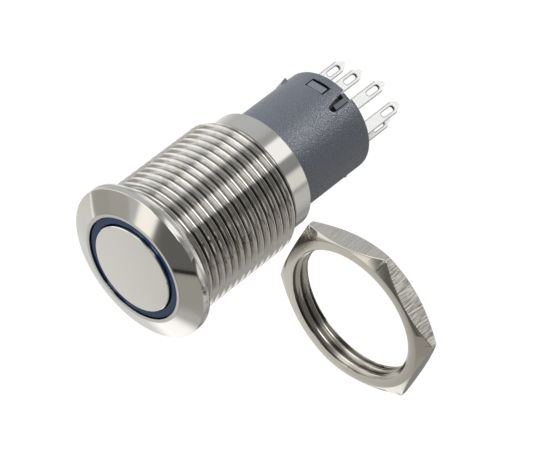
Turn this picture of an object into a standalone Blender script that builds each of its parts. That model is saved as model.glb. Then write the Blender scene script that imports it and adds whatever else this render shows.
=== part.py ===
# Illuminated push button switch, 16 mm class, with its panel nut taken off.
# The barrel's axis is Y. The button faces -Y, and the origin lies on the axis
# in the plane where the bezel's back meets the panel. Sizes are in millimetres
# and are turned into metres by MM where a mesh is made.

import math

import bmesh
import bpy
from mathutils import Matrix, Vector

MM = 0.001

# Clearances
SEAT_GAP = 0.1          # between pieces that rest on or in each other
RUN_GAP = 0.1           # radial clearance of what slides
SLOT_GAP = 0.06         # around a terminal in its slot
RIVET_GAP = 0.03        # between a contact and what it is fixed to
OVERCUT = 1.0           # how far a cutting tool reaches past the piece

# Bezel and barrel
BEZEL_R = 9.07
BEZEL_HEIGHT = 2.1      # from the panel to the flat face
RIM_LENGTH = 1.1        # straight outer edge of the bezel
RIM_BREAK = 0.08
FACE_R = 6.6            # outer edge of the flat face, where the bevel starts
THREAD_R = 8.0
THREAD_START = 0.7
THREAD_END = 15.2
THREAD_CHAMFER = 0.55
NECK_R = 7.35
SEAT_INNER_R = 8.1      # inner edge of the ring that bears on the panel
RELIEF_DEPTH = 0.1      # shallow relief inside that ring
COLLAR_R = 7.03
BARREL_LENGTH = 18.0    # behind the panel
COLLAR_CHAMFER = 0.2
BORE_R = 6.13

# Light ring and button
RING_R = 6.23           # recess in the bezel's face
RING_SINK = 0.2         # how far the light ring lies below the bezel's face
RING_DEPTH = 1.6
RING_STEM_END = 4.6
CAP_R = 5.2
CAP_PROUD = 0.14
CAP_THICK = 1.2
CAP_CHAMFER = 0.16
SPIGOT_R = 1.6
SPIGOT_LENGTH = 2.2
TRAVEL = 2.0

# Plunger, its seal, clip and guide
HEAD_LENGTH = 2.4
STEM_R = 2.0
SEAL_WIDTH = 0.8
SEAL_GROOVE = 0.9
GUIDE_LENGTH = 3.0
GUIDE_COLLAR = 1.4       # wall round the stem
GUIDE_RIM = 0.9
GUIDE_RECESS = 1.4
CLIP_THICK = 0.6
CLIP_R = 3.2
CLIP_GROOVE = 0.45
CLIP_MOUTH = 28.0        # half the angle left open, in degrees
CLIP_FLARE = 6.0
STEM_END = 12.4
NOSE_R = 0.6
NOSE_LENGTH = 0.9
WIRE_R = 0.22           # return spring
SPRING_R = 2.75
SPRING_TURNS = 5
SPRING_SPARE = 0.4      # length left over when the button is fully pressed
END_TURNS = 1.6         # nearer to 1 closes a spring's end turns up more

# Lamp board
BOARD_THICK = 0.8
BOARD_HOLE_R = 3.7
LED_SIZE = (1.2, 0.7, 0.8)      # around, along the barrel, outwards
LED_R = 5.45
LED_COUNT = 4
RESISTOR_SIZE = (1.6, 0.5, 0.8)
RESISTOR_R = 4.75
LEAD_R = 0.3
LEAD_HOLE_R = 0.42
LEAD_FRONT_R = 4.35     # where the leads pass through the guide
LEAD_STRAIGHT = 1.5     # before and after the bend

# Rear shell
SHELL_R = 6.03
SHELL_FRONT_BORE_R = 5.0
SHELL_BORE_R = 5.2
SHELL_LENGTH = 11.0     # behind the collar
SHELL_FILLET = 0.65
SHELL_CUT = 2.4         # depth of the tools that cut its wall
WINDOW_ANGLES = (-60.0, 0.0, 150.0, 210.0)
WINDOW_WIDTH = 2.5
WINDOW_LENGTH = 1.35
WINDOW_FROM_END = 1.3
CATCH_WIDTH = 2.1
CATCH_RISES = (0.24, -0.05, 0.24, 0.24)    # above the shell's surface, window by window
CATCH_GAP = 0.36
CATCH_ROOT = 0.8        # buried in the base, also for the key
CATCH_TOE = 0.03        # how far the ramp's low end lies inside the surface
CATCH_LAND = 0.25
KEY_SLOT_ANGLE = 29.6
KEY_SLOT_WIDTH = 0.86
KEY_SLOT_MOUTH = 1.5
KEY_SLOT_LENGTH = 3.4
KEY_WIDTH = 0.55        # of the base's rib that stands in the slot
KEY_LENGTH = 2.4
KEY_SINK = 0.3          # how far its top lies inside the shell's surface
KEY_SLOPE_LENGTH = 0.5
KEY_SLOPE_DROP = 0.35
KEY_FOOT_WIDTH = 1.0    # its wider end in the slot's mouth
KEY_FOOT_LENGTH = 0.7

# Terminal base and terminals. U and V are the two directions across the
# barrel that the flat terminals lie along and face.
BASE_LENGTH = 6.9
BASE_RECESS = 0.1       # how far its back lies inside the shell's end
BASE_LEAD_IN = 0.3
BASE_EDGE = 0.2
BLADE_ANGLE = 120.0     # direction of U, from +Z towards +X
BLADE_WIDTH = 1.4
BLADE_THICK = 0.4
BLADE_REACH = 6.9       # past the shell's end
TIP_TAPER = 1.0
TIP_WIDTH = 0.7
EYE_WIDTH = 0.6
EYE_LENGTH = 1.9
EYE_FROM_TIP = 0.9
TAG_THICK = 0.34         # outside the shell, where it is pressed thinner
TAG_MARGIN = 0.3         # from the shell's end to the thinner part
SHOULDER_WIDTH = 1.6
SHOULDER_LENGTH = 1.0
LED_MINUS_AT = (-3.95, -1.02)
COMMON_AT = (-1.96, 0.40)
LED_PLUS_AT = (0.67, 2.24)
OPEN_AT = (3.43, 1.80)
CLOSED_AT = (3.80, -1.40)

# Contacts
LEVER_FRONT = 16.0
LEVER_THICK = 0.3
LEVER_HALF_WIDTH = 1.0
PIVOT_U = -3.3
CONTACT_U = 3.25
LEVER_OVERHANG = 0.75
TAIL_LENGTH = 0.75
TAIL_TIP = 0.1
NOTCH_DEPTH = 0.45
NOTCH_WIDTH = 0.8
ARM_WIDTH = 1.6
ARM_START = 1.6         # from the shoulder to the arm's bend
ARM_BEND = 1.4
CONTACT_R = 0.6
SHANK_R = 0.33
CONTACT_HEAD = 0.45
CONTACT_GAP = 1.0       # between the moving contact and the open one
FIXED_CONTACT_HEIGHT = 0.3
TAB_REACH = 0.8         # past the middle of the moving contact
TAB_MARGIN = 0.1        # beside the fixed contact
CONTACT_SPRING_R = 0.82
CONTACT_SPRING_TURNS = 4
CONTACT_WIRE_R = 0.15
LEVER_SPRING_U = 1.2
LEVER_SPRING_R = 0.75
LEVER_SPRING_TURNS = 6

# Panel nut, taken off and standing beside the barrel
NUT_FLATS = 18.0
NUT_THICK = 2.4
NUT_BORE_R = 7.46
NUT_MOUTH_R = 7.85
NUT_CHAMFER_R = 8.85
NUT_CHAMFER_ANGLE = 30.0
NUT_X = 21.65
NUT_Z = 0.6
NUT_FRONT = 7.36
NUT_ROLL = 8.5          # of a corner, from +X towards +Z

# Facets
FINE = 64
ROUND = 40
SMALL = 24
TINY = 12
COIL_STEPS = 14         # to a turn
LEAD_STEPS = 10

# Places worked out from the sizes above
FACE = -BEZEL_HEIGHT
CAP_FRONT = FACE - CAP_PROUD
CAP_BACK = CAP_FRONT + CAP_THICK
HEAD_FRONT = CAP_BACK + SEAT_GAP
HEAD_BACK = HEAD_FRONT + HEAD_LENGTH
RING_BORE_R = CAP_R + RUN_GAP
RING_SEAT = FACE + RING_DEPTH
GUIDE_START = HEAD_BACK + TRAVEL + (SPRING_TURNS + 1) * 2.0 * WIRE_R + SPRING_SPARE
GUIDE_END = GUIDE_START + GUIDE_LENGTH
BOARD_BACK = GUIDE_START - SEAT_GAP
BOARD_FRONT = BOARD_BACK - BOARD_THICK
CLIP_FRONT = GUIDE_END + SEAT_GAP
SHELL_START = GUIDE_END + SEAT_GAP
SHELL_END = BARREL_LENGTH + SHELL_LENGTH
BASE_END = SHELL_END - BASE_RECESS
BASE_START = BASE_END - BASE_LENGTH
SHOULDER_FOOT = BASE_START - SEAT_GAP
SHELL_STEP = BASE_START - SEAT_GAP
TIP = SHELL_END + BLADE_REACH
TAG_START = SHELL_END + TAG_MARGIN
WINDOW_END = SHELL_END - WINDOW_FROM_END
WINDOW_START = WINDOW_END - WINDOW_LENGTH
LEVER_BACK = LEVER_FRONT + LEVER_THICK
PIVOT_Y = LEVER_BACK + TAIL_LENGTH
CLOSED_FACE = LEVER_FRONT - CONTACT_HEAD - SEAT_GAP
OPEN_FACE = LEVER_BACK + CONTACT_HEAD + CONTACT_GAP
BASE_R = SHELL_BORE_R - SEAT_GAP

U_DIR = Vector((math.sin(math.radians(BLADE_ANGLE)), 0.0, math.cos(math.radians(BLADE_ANGLE))))
V_DIR = Vector((-U_DIR.z, 0.0, U_DIR.x))
UV_FRAME = Matrix((U_DIR, Vector((0.0, 1.0, 0.0)), V_DIR)).transposed()


def remove_old_objects():
    for old in list(bpy.data.objects):
        bpy.data.objects.remove(old, do_unlink=True)


def make_material(name, colour, roughness, metallic):
    material = bpy.data.materials.new(name)
    material.use_nodes = True
    shader = material.node_tree.nodes["Principled BSDF"]
    shader.inputs["Base Color"].default_value = (*colour, 1.0)
    shader.inputs["Roughness"].default_value = roughness
    shader.inputs["Metallic"].default_value = metallic
    material.diffuse_color = (*colour, 1.0)
    return material


def finish_mesh(bm, name, material, smooth=True):
    """Turn a bmesh in millimetres into an object in metres."""
    bmesh.ops.remove_doubles(bm, verts=bm.verts, dist=1e-4)
    bmesh.ops.recalc_face_normals(bm, faces=bm.faces)
    bmesh.ops.scale(bm, vec=(MM, MM, MM), verts=bm.verts)
    mesh = bpy.data.meshes.new(name)
    bm.to_mesh(mesh)
    bm.free()
    if smooth:
        mesh.shade_smooth()
        mesh.set_sharp_from_angle(angle=math.radians(30.0))
    obj = bpy.data.objects.new(name, mesh)
    bpy.context.collection.objects.link(obj)
    if material is not None:
        mesh.materials.append(material)
    return obj


def turned(name, profile, steps, material, centre=(0.0, 0.0)):
    """Revolve a closed profile of (radius, y) points about a line along Y."""
    bm = bmesh.new()
    verts = [bm.verts.new((radius, y, 0.0)) for radius, y in profile]
    edges = [bm.edges.new((a, b)) for a, b in zip(verts, verts[1:])]
    if min(radius for radius, y in profile) > 0.0:
        edges.append(bm.edges.new((verts[-1], verts[0])))
    bmesh.ops.spin(bm, geom=verts + edges, cent=(0, 0, 0), axis=(0, 1, 0),
                   angle=math.tau, steps=steps, use_merge=True, use_duplicate=False)
    bmesh.ops.translate(bm, vec=(centre[0], 0.0, centre[1]), verts=bm.verts)
    return finish_mesh(bm, name, material)


def extruded(name, outline, depth, frame, material):
    """Extrude an outline in the frame's first two directions along its third."""
    bm = bmesh.new()
    verts = [bm.verts.new((a, b, -depth / 2.0)) for a, b in outline]
    face = bm.faces.new(verts)
    grown = bmesh.ops.extrude_face_region(bm, geom=[face])
    moved = [item for item in grown["geom"] if isinstance(item, bmesh.types.BMVert)]
    bmesh.ops.translate(bm, vec=(0.0, 0.0, depth), verts=moved)
    bmesh.ops.transform(bm, matrix=frame, verts=bm.verts)
    return finish_mesh(bm, name, material)


def block(name, size, centre, turn, material):
    """A box of the given size about a centre, turned by a 3 x 3 matrix."""
    bm = bmesh.new()
    bmesh.ops.create_cube(bm, size=1.0)
    bmesh.ops.scale(bm, vec=size, verts=bm.verts)
    bmesh.ops.transform(bm, matrix=Matrix.Translation(centre) @ turn.to_4x4(), verts=bm.verts)
    return finish_mesh(bm, name, material, smooth=False)


def radial_turn(angle):
    """Columns: around, along the barrel, outwards. Angle runs from +Z to +X."""
    a = math.radians(angle)
    out = Vector((math.sin(a), 0.0, math.cos(a)))
    around = Vector((math.cos(a), 0.0, -math.sin(a)))
    return Matrix((around, Vector((0.0, 1.0, 0.0)), out)).transposed()


def at_angle(radius, angle, y):
    a = math.radians(angle)
    return Vector((radius * math.sin(a), y, radius * math.cos(a)))


def uv_point(u, v, y):
    return U_DIR * u + V_DIR * v + Vector((0.0, y, 0.0))


def combine(target, tool, operation):
    """Apply a Boolean with a hidden tool object."""
    tool.hide_render = True
    tool.display_type = "WIRE"
    modifier = target.modifiers.new(operation.lower() + "_" + tool.name, "BOOLEAN")
    modifier.operation = operation
    modifier.object = tool
    modifier.solver = "EXACT"


def coil(name, radius, wire_r, start, end, turns, centre, material):
    """A compression spring whose turns lie closer together at both ends."""
    count = turns * COIL_STEPS
    first = start + wire_r
    rise = end - start - 2.0 * wire_r
    curve = bpy.data.curves.new(name, "CURVE")
    curve.dimensions = "3D"
    curve.bevel_depth = wire_r * MM
    curve.bevel_resolution = 1
    curve.use_fill_caps = True
    spline = curve.splines.new("POLY")
    spline.points.add(count)
    for i in range(count + 1):
        share = i / count
        eased = share - math.sin(math.tau * share) / (math.tau * END_TURNS)
        angle = math.tau * i / COIL_STEPS
        point = centre + Vector((radius * math.cos(angle), first + rise * eased, radius * math.sin(angle)))
        spline.points[i].co = (*(point * MM), 1.0)
    obj = bpy.data.objects.new(name, curve)
    bpy.context.collection.objects.link(obj)
    curve.materials.append(material)
    return obj


def lead(name, points, material):
    """A thin insulated lead through the given points."""
    curve = bpy.data.curves.new(name, "CURVE")
    curve.dimensions = "3D"
    curve.bevel_depth = LEAD_R * MM
    curve.bevel_resolution = 2
    curve.use_fill_caps = True
    spline = curve.splines.new("POLY")
    spline.points.add(len(points) - 1)
    for i, point in enumerate(points):
        spline.points[i].co = (*(point * MM), 1.0)
    obj = bpy.data.objects.new(name, curve)
    bpy.context.collection.objects.link(obj)
    curve.materials.append(material)
    return obj


def arc_points(centre, radius, start_deg, end_deg, steps):
    """Points on an arc in an (r, y) or (u, y) plane."""
    points = []
    for i in range(steps + 1):
        a = math.radians(start_deg + (end_deg - start_deg) * i / steps)
        points.append((centre[0] + radius * math.cos(a), centre[1] + radius * math.sin(a)))
    return points


# Bezel, ring and button

def build_bezel_barrel(steel):
    rim_front = -RIM_LENGTH
    profile = [
        (RING_R, FACE),
        (FACE_R, FACE),
        (BEZEL_R - RIM_BREAK, rim_front - RIM_BREAK),
        (BEZEL_R, rim_front),
        (BEZEL_R, -RIM_BREAK),
        (BEZEL_R - RIM_BREAK, 0.0),
        (SEAT_INNER_R, 0.0),
        (SEAT_INNER_R, -RELIEF_DEPTH),
        (NECK_R, -RELIEF_DEPTH),
        (NECK_R, THREAD_START - THREAD_CHAMFER),
        (THREAD_R, THREAD_START),
        (THREAD_R, THREAD_END - THREAD_CHAMFER),
        (THREAD_R - THREAD_CHAMFER, THREAD_END),
        (COLLAR_R, THREAD_END),
        (COLLAR_R, BARREL_LENGTH - COLLAR_CHAMFER),
        (COLLAR_R - COLLAR_CHAMFER, BARREL_LENGTH),
        (BORE_R, BARREL_LENGTH),
        (BORE_R, RING_SEAT),
        (RING_R, RING_SEAT),
    ]
    return turned("bezel_barrel", profile, FINE, steel)


def build_light_ring(blue):
    outer = RING_R - SEAT_GAP
    stem = BORE_R - SEAT_GAP
    seat = RING_SEAT - SEAT_GAP
    profile = [
        (RING_BORE_R, FACE + RING_SINK),
        (outer, FACE + RING_SINK),
        (outer, seat),
        (stem, seat),
        (stem, RING_STEM_END),
        (RING_BORE_R, RING_STEM_END),
    ]
    return turned("light_ring", profile, FINE, blue)


def build_button_cap(steel):
    profile = [
        (0.0, CAP_FRONT),
        (CAP_R - CAP_CHAMFER, CAP_FRONT),
        (CAP_R, CAP_FRONT + CAP_CHAMFER),
        (CAP_R, CAP_BACK),
        (SPIGOT_R, CAP_BACK),
        (SPIGOT_R, CAP_BACK + SPIGOT_LENGTH),
        (0.0, CAP_BACK + SPIGOT_LENGTH),
    ]
    return turned("button_cap", profile, FINE, steel)


def build_plunger(plastic):
    groove_front = HEAD_FRONT + (HEAD_LENGTH - SEAL_WIDTH) / 2.0
    groove_back = groove_front + SEAL_WIDTH
    groove_r = CAP_R - SEAL_GROOVE
    clip_back = CLIP_FRONT + CLIP_THICK + SEAT_GAP
    clip_neck_r = STEM_R - CLIP_GROOVE
    socket_end = CAP_BACK + SPIGOT_LENGTH + SEAT_GAP
    profile = [
        (0.0, socket_end),
        (SPIGOT_R + SEAT_GAP, socket_end),
        (SPIGOT_R + SEAT_GAP, HEAD_FRONT),
        (CAP_R, HEAD_FRONT),
        (CAP_R, groove_front),
        (groove_r, groove_front),
        (groove_r, groove_back),
        (CAP_R, groove_back),
        (CAP_R, HEAD_BACK),
        (STEM_R, HEAD_BACK),
        (STEM_R, CLIP_FRONT - SEAT_GAP),
        (clip_neck_r, CLIP_FRONT - SEAT_GAP),
        (clip_neck_r, clip_back),
        (STEM_R, clip_back),
        (STEM_R, STEM_END),
        (NOSE_R, STEM_END),
        (NOSE_R, STEM_END + NOSE_LENGTH),
        (0.0, STEM_END + NOSE_LENGTH),
    ]
    return turned("button_plunger", profile, ROUND, plastic)


def build_seal(rubber):
    wire = (SEAL_WIDTH - SEAT_GAP) / 2.0
    middle = HEAD_FRONT + HEAD_LENGTH / 2.0
    centre_r = CAP_R + RUN_GAP - SLOT_GAP - wire
    profile = arc_points((centre_r, middle), wire, 0.0, 300.0, 5)
    return turned("plunger_seal", profile, ROUND, rubber)


def build_clip(steel):
    """A C-shaped clip whose mouth slides over the stem's groove."""
    inner = STEM_R - CLIP_GROOVE + SLOT_GAP
    mouth = CLIP_MOUTH
    throat = CLIP_MOUTH + CLIP_FLARE
    outline = arc_points((0.0, 0.0), CLIP_R, mouth, 360.0 - mouth, 22)
    outline += arc_points((0.0, 0.0), inner, 360.0 - throat, throat, 16)
    frame = Matrix.Translation((0.0, CLIP_FRONT + CLIP_THICK / 2.0, 0.0)) @ Matrix.Rotation(
        math.radians(90.0), 4, "X")
    return extruded("retaining_clip", outline, CLIP_THICK, frame, steel)


def build_guide(plastic):
    inner = STEM_R + RUN_GAP
    outer = BORE_R - SEAT_GAP
    profile = [
        (inner, GUIDE_START),
        (outer, GUIDE_START),
        (outer, GUIDE_END),
        (inner, GUIDE_END),
    ]
    guide = turned("plunger_guide", profile, ROUND, plastic)
    recess = turned("guide_recess", [
        (inner + GUIDE_COLLAR, GUIDE_END - GUIDE_RECESS),
        (outer - GUIDE_RIM, GUIDE_END - GUIDE_RECESS),
        (outer - GUIDE_RIM, GUIDE_END + OVERCUT),
        (inner + GUIDE_COLLAR, GUIDE_END + OVERCUT),
    ], ROUND, None)
    combine(guide, recess, "DIFFERENCE")
    for name, (x, z) in LEAD_PLACES.items():
        hole = turned("hole_" + name, [
            (0.0, GUIDE_START - OVERCUT),
            (LEAD_HOLE_R, GUIDE_START - OVERCUT),
            (LEAD_HOLE_R, GUIDE_END + OVERCUT),
            (0.0, GUIDE_END + OVERCUT),
        ], TINY, None, centre=(x, z))
        combine(guide, hole, "DIFFERENCE")
    return guide


# Lamp board

def build_board(green):
    profile = [
        (BOARD_HOLE_R, BOARD_FRONT),
        (BORE_R - SEAT_GAP, BOARD_FRONT),
        (BORE_R - SEAT_GAP, BOARD_BACK),
        (BOARD_HOLE_R, BOARD_BACK),
    ]
    return turned("led_board", profile, ROUND, green)


def build_leds(lamp):
    middle = BOARD_FRONT - SLOT_GAP - LED_SIZE[1] / 2.0
    step = 360.0 / LED_COUNT
    for i in range(LED_COUNT):
        angle = step * (i + 0.5)
        block("led_" + str(i + 1), LED_SIZE, at_angle(LED_R, angle, middle), radial_turn(angle), lamp)


def build_resistor(ceramic):
    middle = BOARD_FRONT - SLOT_GAP - RESISTOR_SIZE[1] / 2.0
    block("led_resistor", RESISTOR_SIZE, at_angle(RESISTOR_R, 0.0, middle), radial_turn(0.0), ceramic)


def lead_route(front, back):
    """From the board straight back, then across to the terminal's flank."""
    start_y = BOARD_BACK + SEAT_GAP
    bend_start = SHELL_START + LEAD_STRAIGHT
    bend_end = SHOULDER_FOOT - SHOULDER_LENGTH - LEAD_STRAIGHT
    points = [Vector((front[0], start_y, front[1]))]
    for i in range(LEAD_STEPS + 1):
        share = i / LEAD_STEPS
        eased = (1.0 - math.cos(math.pi * share)) / 2.0
        x = front[0] + (back[0] - front[0]) * eased
        z = front[1] + (back[1] - front[1]) * eased
        points.append(Vector((x, bend_start + (bend_end - bend_start) * share, z)))
    points.append(Vector((back[0], SHOULDER_FOOT, back[1])))
    return points


def lead_end(place):
    """Where a lead lies against its terminal's outer face."""
    side = math.copysign(1.0, place[1])
    point = uv_point(place[0], place[1] + side * (BLADE_THICK / 2.0 + LEAD_R + SLOT_GAP), 0.0)
    return (point.x, point.z)


def lead_front(place):
    """The same bearing as the terminal, at a radius that clears the clip."""
    x, z = lead_end(place)
    scale = LEAD_FRONT_R / math.hypot(x, z)
    return (x * scale, z * scale)


LEAD_PLACES = {
    "led_lead_minus": lead_front(LED_MINUS_AT),
    "led_lead_plus": lead_front(LED_PLUS_AT),
}


# Rear shell and terminal base

def build_shell(plastic):
    fillet = arc_points((SHELL_R - SHELL_FILLET, SHELL_END - SHELL_FILLET), SHELL_FILLET, 0.0, 90.0, 5)
    profile = [
        (SHELL_FRONT_BORE_R, SHELL_START),
        (SHELL_R, SHELL_START),
        *fillet,
        (SHELL_BORE_R, SHELL_END),
        (SHELL_BORE_R, SHELL_STEP),
        (SHELL_FRONT_BORE_R, SHELL_STEP),
    ]
    shell = turned("rear_housing", profile, FINE, plastic)
    for i, angle in enumerate(WINDOW_ANGLES):
        size = (WINDOW_WIDTH, WINDOW_LENGTH, SHELL_CUT)
        centre = at_angle(SHELL_R, angle, (WINDOW_START + WINDOW_END) / 2.0)
        window = block("window_" + str(i), size, centre, radial_turn(angle), None)
        combine(shell, window, "DIFFERENCE")
    half = KEY_SLOT_WIDTH / 2.0
    closed_y = SHELL_END - KEY_SLOT_LENGTH + half
    outline = arc_points((0.0, closed_y), half, 180.0, 360.0, 8)
    outline += [
        (half, SHELL_END + OVERCUT),
        (half - KEY_SLOT_MOUTH, SHELL_END + OVERCUT),
    ]
    turn = Matrix.Translation(at_angle(SHELL_R, KEY_SLOT_ANGLE, 0.0)) @ radial_turn(KEY_SLOT_ANGLE).to_4x4()
    key_slot = extruded("key_slot", outline, SHELL_CUT, turn, None)
    combine(shell, key_slot, "DIFFERENCE")
    return shell


def rib_frame(angle, aside):
    """Outline in (y, outwards), width around, its middle moved aside."""
    turn = radial_turn(angle)
    around = turn.col[0]
    out = turn.col[2]
    frame = Matrix((Vector((0.0, 1.0, 0.0)), out, around)).transposed().to_4x4()
    return Matrix.Translation(around * aside) @ frame


def build_key(name, width, length):
    """The base's rib in the key slot, beside the slot's straight wall."""
    front = BASE_END - length
    top = SHELL_R - KEY_SINK
    outline = [
        (front, BASE_R - CATCH_ROOT),
        (BASE_END, BASE_R - CATCH_ROOT),
        (BASE_END, top - KEY_SLOPE_DROP),
        (BASE_END - KEY_SLOPE_LENGTH, top),
        (front, top),
    ]
    aside = KEY_SLOT_WIDTH / 2.0 - SEAT_GAP - width / 2.0
    return extruded(name, outline, width, rib_frame(KEY_SLOT_ANGLE, aside), None)


def build_base(plastic):
    profile = [
        (0.0, BASE_START),
        (BASE_R - BASE_LEAD_IN, BASE_START),
        (BASE_R, BASE_START + BASE_LEAD_IN),
        (BASE_R, BASE_END - BASE_EDGE),
        (BASE_R - BASE_EDGE, BASE_END),
        (0.0, BASE_END),
    ]
    base = turned("terminal_base", profile, ROUND, plastic)
    back = WINDOW_END - CATCH_GAP
    front = WINDOW_START + SEAT_GAP
    for i, (angle, rise) in enumerate(zip(WINDOW_ANGLES, CATCH_RISES)):
        ramp = [
            (front, BASE_R - CATCH_ROOT),
            (back, BASE_R - CATCH_ROOT),
            (back, SHELL_R + rise),
            (back - CATCH_LAND, SHELL_R + rise),
            (front, SHELL_R + min(rise, 0.0) - CATCH_TOE),
        ]
        catch = extruded("catch_" + str(i), ramp, CATCH_WIDTH, rib_frame(angle, 0.0), None)
        combine(base, catch, "UNION")
    combine(base, build_key("key", KEY_WIDTH, KEY_LENGTH), "UNION")
    combine(base, build_key("key_foot", KEY_FOOT_WIDTH, KEY_FOOT_LENGTH), "UNION")
    for name, place in TERMINAL_PLACES.items():
        size = (BLADE_WIDTH + 2.0 * SLOT_GAP, BASE_LENGTH + 2.0 * OVERCUT, BLADE_THICK + 2.0 * SLOT_GAP)
        centre = uv_point(place[0], place[1], (BASE_START + BASE_END) / 2.0)
        slot = block("slot_" + name, size, centre, UV_FRAME, None)
        combine(base, slot, "DIFFERENCE")
    return base


TERMINAL_PLACES = {
    "terminal_led_minus": LED_MINUS_AT,
    "terminal_common": COMMON_AT,
    "terminal_led_plus": LED_PLUS_AT,
    "terminal_normally_open": OPEN_AT,
    "terminal_normally_closed": CLOSED_AT,
}


# Terminals

def blade_frame(place):
    """Outline in (u, y), thickness along V, at the terminal's own place."""
    return Matrix.Translation(uv_point(place[0], place[1], 0.0)) @ UV_FRAME.to_4x4()


def blade_outline(inner):
    """Right half from the tip down, the inner end's points, then the left half."""
    half = BLADE_WIDTH / 2.0
    tip_half = TIP_WIDTH / 2.0
    nose = arc_points((0.0, TIP - tip_half), tip_half, 150.0, 30.0, 6)
    return nose + [
        (half, TIP - TIP_TAPER),
        (half, SHOULDER_FOOT),
    ] + inner + [
        (-half, SHOULDER_FOOT),
        (-half, TIP - TIP_TAPER),
    ]


def cut_eye(blade, name, place):
    half = EYE_WIDTH / 2.0
    top = TIP - EYE_FROM_TIP - half
    bottom = TIP - EYE_FROM_TIP - EYE_LENGTH + half
    outline = arc_points((0.0, top), half, 0.0, 180.0, 6)
    outline += arc_points((0.0, bottom), half, 180.0, 360.0, 6)
    eye = extruded("eye_" + name, outline, BLADE_THICK + OVERCUT, blade_frame(place), None)
    combine(blade, eye, "DIFFERENCE")


def press_tag(blade, name, place):
    """Cut both faces of the tag back to its own thickness."""
    size = (BLADE_WIDTH + 2.0 * OVERCUT, TIP - TAG_START + OVERCUT, OVERCUT)
    for side in (-1.0, 1.0):
        v = place[1] + side * (TAG_THICK + OVERCUT) / 2.0
        centre = uv_point(place[0], v, TAG_START + size[1] / 2.0)
        face = "front_" if side > 0.0 else "back_"
        press = block(face + name, size, centre, UV_FRAME, None)
        combine(blade, press, "DIFFERENCE")


def build_terminal(name, inner, metal):
    place = TERMINAL_PLACES[name]
    blade = extruded(name, blade_outline(inner), BLADE_THICK, blade_frame(place), metal)
    press_tag(blade, name, place)
    cut_eye(blade, name, place)
    return blade


def shoulder(top):
    """A wider inner end that rests on the base's front face."""
    half = SHOULDER_WIDTH / 2.0
    return [
        (half, SHOULDER_FOOT),
        (half, top),
        (-half, top),
        (-half, SHOULDER_FOOT),
    ]


def build_terminals(tin):
    lamp_top = SHOULDER_FOOT - SHOULDER_LENGTH
    build_terminal("terminal_led_minus", shoulder(lamp_top), tin)
    build_terminal("terminal_led_plus", shoulder(lamp_top), tin)
    build_common_terminal(tin)
    build_fixed_terminal("terminal_normally_open", OPEN_FACE + FIXED_CONTACT_HEIGHT, 1.0, tin)
    build_fixed_terminal("terminal_normally_closed", CLOSED_FACE - FIXED_CONTACT_HEIGHT, -1.0, tin)


def build_common_terminal(tin):
    """Its inner arm reaches out to a notch in which the lever rocks."""
    arm_start = SHOULDER_FOOT - ARM_START
    pivot = PIVOT_U - COMMON_AT[0]
    half_arm = ARM_WIDTH / 2.0
    half_notch = NOTCH_WIDTH / 2.0
    notch_floor = PIVOT_Y + SEAT_GAP
    arm_top = notch_floor - NOTCH_DEPTH
    half = SHOULDER_WIDTH / 2.0
    inner = [
        (half, SHOULDER_FOOT),
        (half, arm_start),
        (pivot + half_arm, arm_start - ARM_BEND),
        (pivot + half_arm, arm_top),
        (pivot + half_notch, arm_top),
        (pivot, notch_floor),
        (pivot - half_notch, arm_top),
        (pivot - half_arm, arm_top),
        (pivot - half_arm, arm_start),
        (-half, SHOULDER_FOOT),
    ]
    build_terminal("terminal_common", inner, tin)


def build_fixed_terminal(name, tab_face, tab_side, tin):
    """A riser with a tab bent over at a right angle to carry a fixed contact.

    tab_face is the tab's face that the contact stands on, and tab_side is +1
    where the tab lies behind that face and -1 where it lies in front of it.
    """
    place = TERMINAL_PLACES[name]
    tab_middle = tab_face + tab_side * BLADE_THICK / 2.0
    top = tab_middle - BLADE_THICK / 2.0
    half = BLADE_WIDTH / 2.0
    wide = SHOULDER_WIDTH / 2.0
    neck = SHOULDER_FOOT - SHOULDER_LENGTH
    inner = [
        (wide, SHOULDER_FOOT),
        (wide, neck),
        (half, neck),
        (half, top),
        (-half, top),
        (-half, neck),
        (-wide, neck),
        (-wide, SHOULDER_FOOT),
    ]
    blade = build_terminal(name, inner, tin)
    side = math.copysign(1.0, place[1])
    outer_v = place[1] + side * (BLADE_THICK / 2.0)
    inner_v = -side * TAB_REACH
    contact_edge = CONTACT_R + TAB_MARGIN
    low_u = min(place[0] - half, CONTACT_U - contact_edge)
    high_u = max(place[0] + half, CONTACT_U + contact_edge)
    size = (high_u - low_u, BLADE_THICK, abs(outer_v - inner_v))
    centre = uv_point((low_u + high_u) / 2.0, (outer_v + inner_v) / 2.0, tab_middle)
    tab = block("tab_" + name, size, centre, UV_FRAME, None)
    combine(blade, tab, "UNION")


# Contacts

def contact_button(name, front, back, radius, metal):
    centre = uv_point(CONTACT_U, 0.0, 0.0)
    profile = [
        (0.0, front),
        (radius, front),
        (radius, back),
        (0.0, back),
    ]
    return turned(name, profile, SMALL, metal, centre=(centre.x, centre.z))


def build_lever(copper):
    """A flat lever whose bent tail stands in the common terminal's notch."""
    end_u = CONTACT_U + LEVER_OVERHANG
    tail_half = LEVER_THICK / 2.0
    outline = [
        (PIVOT_U - tail_half, LEVER_FRONT),
        (end_u, LEVER_FRONT),
        (end_u, LEVER_BACK),
        (PIVOT_U + tail_half, LEVER_BACK),
        (PIVOT_U + TAIL_TIP / 2.0, PIVOT_Y),
        (PIVOT_U - TAIL_TIP / 2.0, PIVOT_Y),
        (PIVOT_U - tail_half, LEVER_BACK),
    ]
    lever = extruded("contact_lever", outline, 2.0 * LEVER_HALF_WIDTH, UV_FRAME.to_4x4(), copper)
    hole = contact_button("lever_hole", LEVER_FRONT - OVERCUT, LEVER_BACK + OVERCUT,
                          SHANK_R + RIVET_GAP, None)
    combine(lever, hole, "DIFFERENCE")
    return lever


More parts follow.
